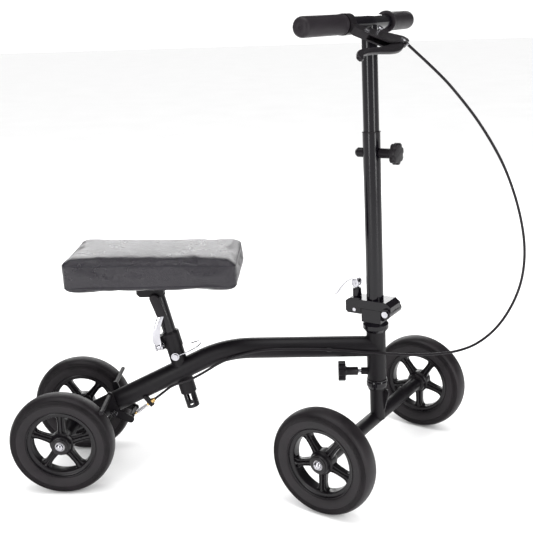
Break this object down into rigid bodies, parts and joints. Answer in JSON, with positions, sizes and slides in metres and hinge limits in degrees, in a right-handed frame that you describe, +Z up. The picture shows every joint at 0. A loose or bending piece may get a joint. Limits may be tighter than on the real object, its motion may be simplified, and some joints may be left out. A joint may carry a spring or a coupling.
{
  "type": "knee scooter",
  "caption": "Steerable knee scooter: cushioned knee rest on an adjustable post, folding height-adjustable stem, hand brake lever working a rear brake bar.",
  "frame": {"origin": "on the floor under the middle of the whole scooter, as parked with its front axle turned", "axes": "+X forwards along the frame, +Y to the rider's left, +Z up"},
  "size_m": [0.9716, 0.4776, 0.866],
  "materials": {
    "tyre_rubber": "satin",
    "rim_plastic": "gloss",
    "bearing_steel": "satin",
    "frame_paint": "matte",
    "gloss_paint": "gloss",
    "black_plastic": "matte",
    "grip_rubber": "matte",
    "bright_steel": "polished",
    "brass_fitting": "satin",
    "cable_sheath": "satin",
    "seat_vinyl": "grained",
    "seat_ply": "plain"
  },
  "bodies": {
    "frame": {"main_frame": "frame_paint", "seat_collar": "frame_paint", "post_bushing": "black_plastic", "head_cups": "gloss_paint", "head_bearings": "bright_steel", "rear_axle_bolts": "bright_steel", "cable_lower": "cable_sheath", "cable_frame": "cable_sheath", "cable_clip": "cable_sheath", "cable_adjuster": "brass_fitting", "brake_pivot_bolt": "bright_steel", "brake_wire": "bright_steel", "brake_spring": "bright_steel", "seat_lever_bolt": "bright_steel"},
    "fork": {"steering_fork": "frame_paint", "front_axle_bolts": "bright_steel", "fold_base": "gloss_paint", "fold_pin": "bright_steel", "cable_middle": "cable_sheath"},
    "stem": {"fold_head": "gloss_paint", "lower_stem_tube": "gloss_paint", "stem_bushing": "black_plastic", "height_cap": "black_plastic", "cable_upper": "cable_sheath"},
    "fold_catch": {"swing_bolt": "bright_steel", "catch_nut": "gloss_paint"},
    "catch_lever": {"cam_lever": "bright_steel"},
    "height_knob": {"height_knob": "black_plastic"},
    "handlebar": {"handlebar": "gloss_paint", "grip_left": "grip_rubber", "grip_right": "grip_rubber", "lever_housing": "black_plastic", "lever_screws": "bright_steel", "cable_ferrule": "bright_steel"},
    "brake_lever": {"brake_lever": "black_plastic"},
    "lock_pin": {"lock_pin": "bright_steel"},
    "tension_knob": {"tension_knob": "black_plastic"},
    "seat": {"seat_post": "gloss_paint", "seat_bracket": "frame_paint", "seat_board": "seat_ply", "seat_pad": "seat_vinyl", "seat_screws": "bright_steel"},
    "seat_clamp": {"seat_lever": "bright_steel", "seat_lever_grip": "black_plastic"},
    "snap_pin": {"snap_pin": "bright_steel"},
    "pin_bail": {"pin_bail": "bright_steel"},
    "brake_arm": {"brake_arm": "frame_paint"},
    "rear_wheel_left": {"rear_wheel_left_tyre": "tyre_rubber", "rear_wheel_left_rim": "rim_plastic", "rear_wheel_left_bearings": "bearing_steel"},
    "rear_wheel_right": {"rear_wheel_right_tyre": "tyre_rubber", "rear_wheel_right_rim": "rim_plastic", "rear_wheel_right_bearings": "bearing_steel"},
    "front_wheel_left": {"front_wheel_left_tyre": "tyre_rubber", "front_wheel_left_rim": "rim_plastic", "front_wheel_left_bearings": "bearing_steel"},
    "front_wheel_right": {"front_wheel_right_tyre": "tyre_rubber", "front_wheel_right_rim": "rim_plastic", "front_wheel_right_bearings": "bearing_steel"}
  },
  "joints": [
    {"name": "steer", "type": "hinge", "parent": "frame", "child": "fork", "pos_m": [0.21387, -0.00376, 0.19994], "axis": [-0.0244, 0, 0.9997], "range_deg": [-13.5, 76.5], "deforming": ["cable_lower"]},
    {"name": "stem_fold", "type": "hinge", "parent": "fork", "child": "stem", "pos_m": [0.2389, -0.021, 0.32759], "axis": [0.5223, 0.8526, 0.0128], "range_deg": [0, 95], "deforming": ["cable_middle"]},
    {"name": "fold_catch_swing", "type": "hinge", "parent": "stem", "child": "fold_catch", "pos_m": [0.17848, 0.0161, 0.32211], "axis": [-0.5223, -0.8526, -0.0128], "range_deg": [0, 90]},
    {"name": "catch_lever_open", "type": "hinge", "parent": "fold_catch", "child": "catch_lever", "pos_m": [0.17727, 0.0161, 0.3716], "axis": [0.5223, 0.8526, 0.0128], "range_deg": [0, 110]},
    {"name": "height_knob_turn", "type": "hinge", "parent": "stem", "child": "height_knob", "pos_m": [0.23766, -0.02466, 0.62265], "axis": [0.8524, -0.5225, 0.0208], "continuous": true},
    {"name": "handlebar_height", "type": "slide", "parent": "stem", "child": "handlebar", "axis": [-0.0244, 0, 0.9997], "range_m": [-0.09, 0.11], "deforming": ["cable_upper"]},
    {"name": "brake_squeeze", "type": "hinge", "parent": "handlebar", "child": "brake_lever", "pos_m": [0.25304, -0.00812, 0.81233], "axis": [-0.4891, 0.2997, -0.8192], "range_deg": [0, 12], "stiffness_Nm_per_rad": 1.2, "springref_deg": -14.32},
    {"name": "lock_pin_press", "type": "slide", "parent": "handlebar", "child": "lock_pin", "axis": [-0.4891, 0.2997, -0.8192], "range_m": [0, 0.005], "stiffness_N_per_m": 300, "springref_m": -0.002},
    {"name": "tension_knob_turn", "type": "hinge", "parent": "frame", "child": "tension_knob", "pos_m": [0.15876, -0.00376, 0.1995], "axis": [1, 0, 0], "continuous": true},
    {"name": "seat_height", "type": "slide", "parent": "frame", "child": "seat", "axis": [-0.2334, 0, 0.9724], "range_m": [-0.02, 0.09]},
    {"name": "seat_clamp_open", "type": "hinge", "parent": "frame", "child": "seat_clamp", "pos_m": [-0.20139, -0.02476, 0.26275], "axis": [0.9724, 0, 0.2334], "range_deg": [0, 100]},
    {"name": "snap_pin_pull", "type": "slide", "parent": "frame", "child": "snap_pin", "axis": [0, -1, 0], "range_m": [0, 0.04]},
    {"name": "pin_bail_lift", "type": "hinge", "parent": "snap_pin", "child": "pin_bail", "pos_m": [-0.17175, -0.02326, 0.2421], "axis": [0, -1, 0], "range_deg": [0, 40]},
    {"name": "rear_brake", "type": "hinge", "parent": "frame", "child": "brake_arm", "pos_m": [-0.29574, -0.00376, 0.131], "axis": [0, -1, 0], "range_deg": [0, 3.6], "deforming": ["brake_spring", "brake_wire"]},
    {"name": "rear_wheel_left_spin", "type": "hinge", "parent": "frame", "child": "rear_wheel_left", "pos_m": [-0.38584, 0.08464, 0.1], "axis": [0, 1, 0], "continuous": true},
    {"name": "rear_wheel_right_spin", "type": "hinge", "parent": "frame", "child": "rear_wheel_right", "pos_m": [-0.38584, -0.09216, 0.1], "axis": [0, 1, 0], "continuous": true},
    {"name": "front_wheel_left_spin", "type": "hinge", "parent": "fork", "child": "front_wheel_left", "pos_m": [0.319, 0.1736, 0.1], "axis": [0.5225, 0.8526, 0], "continuous": true},
    {"name": "front_wheel_right_spin", "type": "hinge", "parent": "fork", "child": "front_wheel_right", "pos_m": [0.10624, -0.1736, 0.1], "axis": [0.5225, 0.8526, 0], "continuous": true}
  ],
  "couplings": [
    {"joint": "rear_brake", "follows": "brake_squeeze", "ratio": 0.3}
  ]
}
